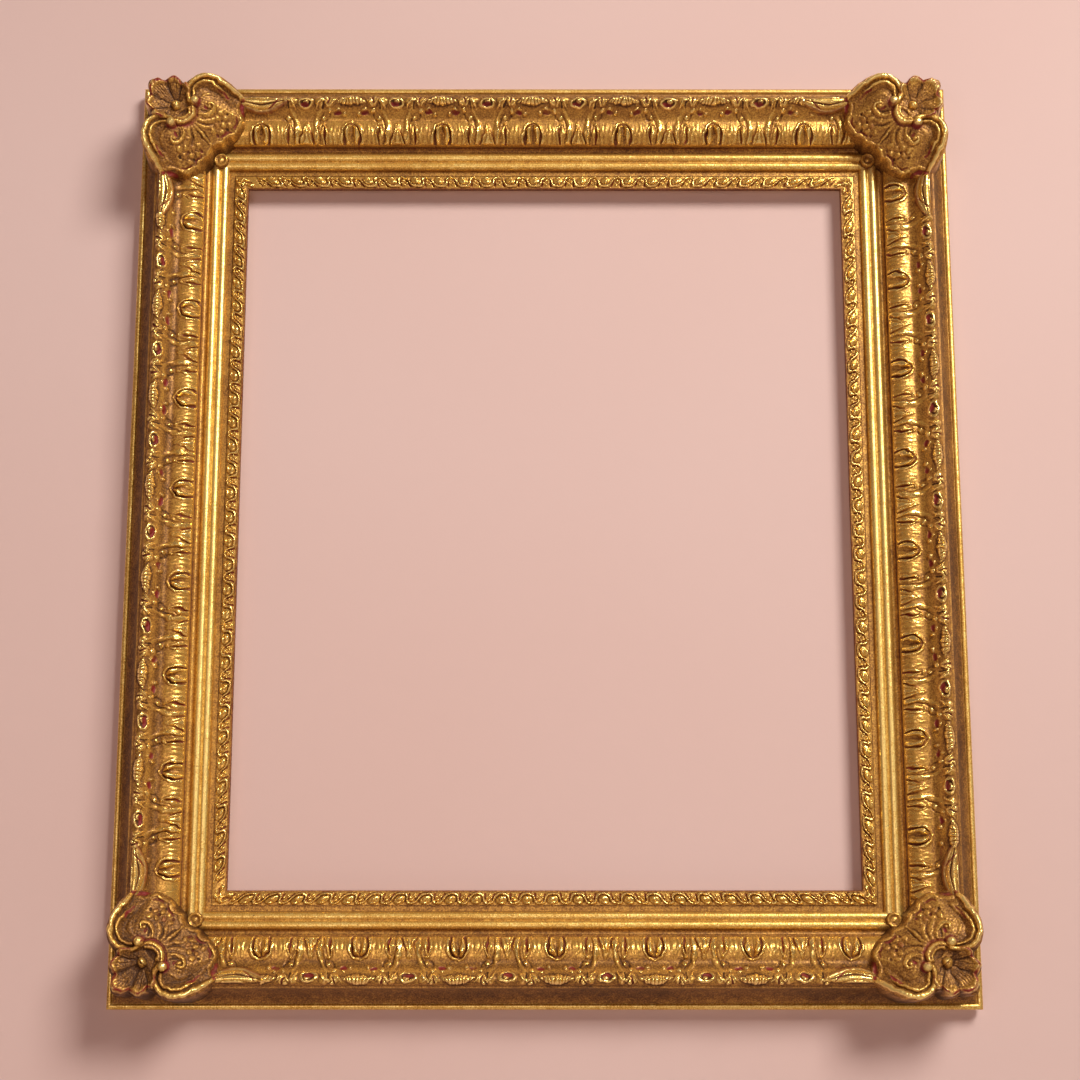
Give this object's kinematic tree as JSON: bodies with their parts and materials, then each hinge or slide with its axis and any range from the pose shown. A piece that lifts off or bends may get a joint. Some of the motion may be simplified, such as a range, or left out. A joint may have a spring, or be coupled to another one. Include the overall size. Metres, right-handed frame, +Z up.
{
  "type": "carved gilded picture frame",
  "caption": "Wall-hung carved and gilded picture frame with corner cartouches, a deep moulding, a rebate for a 600 by 700 mm picture and hinged hangers on its back.",
  "frame": {"origin": "centre of the wall plane that the four rubber bumpers touch", "axes": "+X right, +Z up, the front faces -Y and the wall lies at +Y"},
  "size_m": [0.806, 0.0813, 0.906],
  "materials": {
    "gilded_wood": "burnished gold leaf over red bole and gesso, on softwood",
    "gilded_carving": "toned gold leaf over red bole",
    "nail_steel": "bright",
    "bumper_rubber": "matt",
    "hanger_steel": "brass-plated",
    "button_steel": "zinc-plated",
    "screw_brass": "plain"
  },
  "bodies": {
    "frame": {"rail_bottom": "gilded_wood", "rail_left": "gilded_wood", "rail_top": "gilded_wood", "rail_right": "gilded_wood", "ridge_carving_bottom": "gilded_carving", "leaf_carving_bottom": "gilded_carving", "sight_carving_bottom": "gilded_carving", "ridge_carving_left": "gilded_carving", "leaf_carving_left": "gilded_carving", "sight_carving_left": "gilded_carving", "ridge_carving_top": "gilded_carving", "leaf_carving_top": "gilded_carving", "sight_carving_top": "gilded_carving", "ridge_carving_right": "gilded_carving", "leaf_carving_right": "gilded_carving", "sight_carving_right": "gilded_carving", "corner_cartouche_bottom_left": "gilded_carving", "mitre_rosette_bottom_left": "gilded_carving", "corner_cartouche_top_left": "gilded_carving", "mitre_rosette_top_left": "gilded_carving", "corner_cartouche_top_right": "gilded_carving", "mitre_rosette_top_right": "gilded_carving", "corner_cartouche_bottom_right": "gilded_carving", "mitre_rosette_bottom_right": "gilded_carving", "v_nails": "nail_steel", "wall_bumper_bottom_left": "bumper_rubber", "wall_bumper_bottom_right": "bumper_rubber", "wall_bumper_top_left": "bumper_rubber", "wall_bumper_top_right": "bumper_rubber", "hanger_strap_left": "hanger_steel", "hanger_strap_right": "hanger_steel", "hanger_screws": "screw_brass", "turn_button_screws": "screw_brass"},
    "hanger_ring_left": {"hanger_ring_left": "hanger_steel"},
    "hanger_ring_right": {"hanger_ring_right": "hanger_steel"},
    "turn_button_bottom_a": {"turn_button_bottom_a": "button_steel"},
    "turn_button_bottom_b": {"turn_button_bottom_b": "button_steel"},
    "turn_button_left_a": {"turn_button_left_a": "button_steel"},
    "turn_button_left_b": {"turn_button_left_b": "button_steel"},
    "turn_button_top_a": {"turn_button_top_a": "button_steel"},
    "turn_button_top_b": {"turn_button_top_b": "button_steel"},
    "turn_button_right_a": {"turn_button_right_a": "button_steel"},
    "turn_button_right_b": {"turn_button_right_b": "button_steel"}
  },
  "joints": [
    {"name": "hanger_ring_left_hinge", "type": "hinge", "parent": "frame", "child": "hanger_ring_left", "pos_m": [-0.3328, -0.0028, 0.238], "axis": [0, 0, 1], "range_deg": [0, 150]},
    {"name": "hanger_ring_right_hinge", "type": "hinge", "parent": "frame", "child": "hanger_ring_right", "pos_m": [0.3328, -0.0028, 0.238], "axis": [0, 0, -1], "range_deg": [0, 150]},
    {"name": "turn_button_bottom_a_pivot", "type": "hinge", "parent": "frame", "child": "turn_button_bottom_a", "pos_m": [-0.162, -0.0048, -0.3605], "axis": [0, 1, 0], "continuous": true},
    {"name": "turn_button_bottom_b_pivot", "type": "hinge", "parent": "frame", "child": "turn_button_bottom_b", "pos_m": [0.162, -0.0048, -0.3605], "axis": [0, -1, 0], "continuous": true},
    {"name": "turn_button_left_a_pivot", "type": "hinge", "parent": "frame", "child": "turn_button_left_a", "pos_m": [-0.3105, -0.0048, 0.189], "axis": [0, 1, 0], "continuous": true},
    {"name": "turn_button_left_b_pivot", "type": "hinge", "parent": "frame", "child": "turn_button_left_b", "pos_m": [-0.3105, -0.0048, -0.189], "axis": [0, -1, 0], "continuous": true},
    {"name": "turn_button_top_a_pivot", "type": "hinge", "parent": "frame", "child": "turn_button_top_a", "pos_m": [0.162, -0.0048, 0.3605], "axis": [0, 1, 0], "continuous": true},
    {"name": "turn_button_top_b_pivot", "type": "hinge", "parent": "frame", "child": "turn_button_top_b", "pos_m": [-0.162, -0.0048, 0.3605], "axis": [0, -1, 0], "continuous": true},
    {"name": "turn_button_right_a_pivot", "type": "hinge", "parent": "frame", "child": "turn_button_right_a", "pos_m": [0.3105, -0.0048, -0.189], "axis": [0, 1, 0], "continuous": true},
    {"name": "turn_button_right_b_pivot", "type": "hinge", "parent": "frame", "child": "turn_button_right_b", "pos_m": [0.3105, -0.0048, 0.189], "axis": [0, -1, 0], "continuous": true}
  ]
}
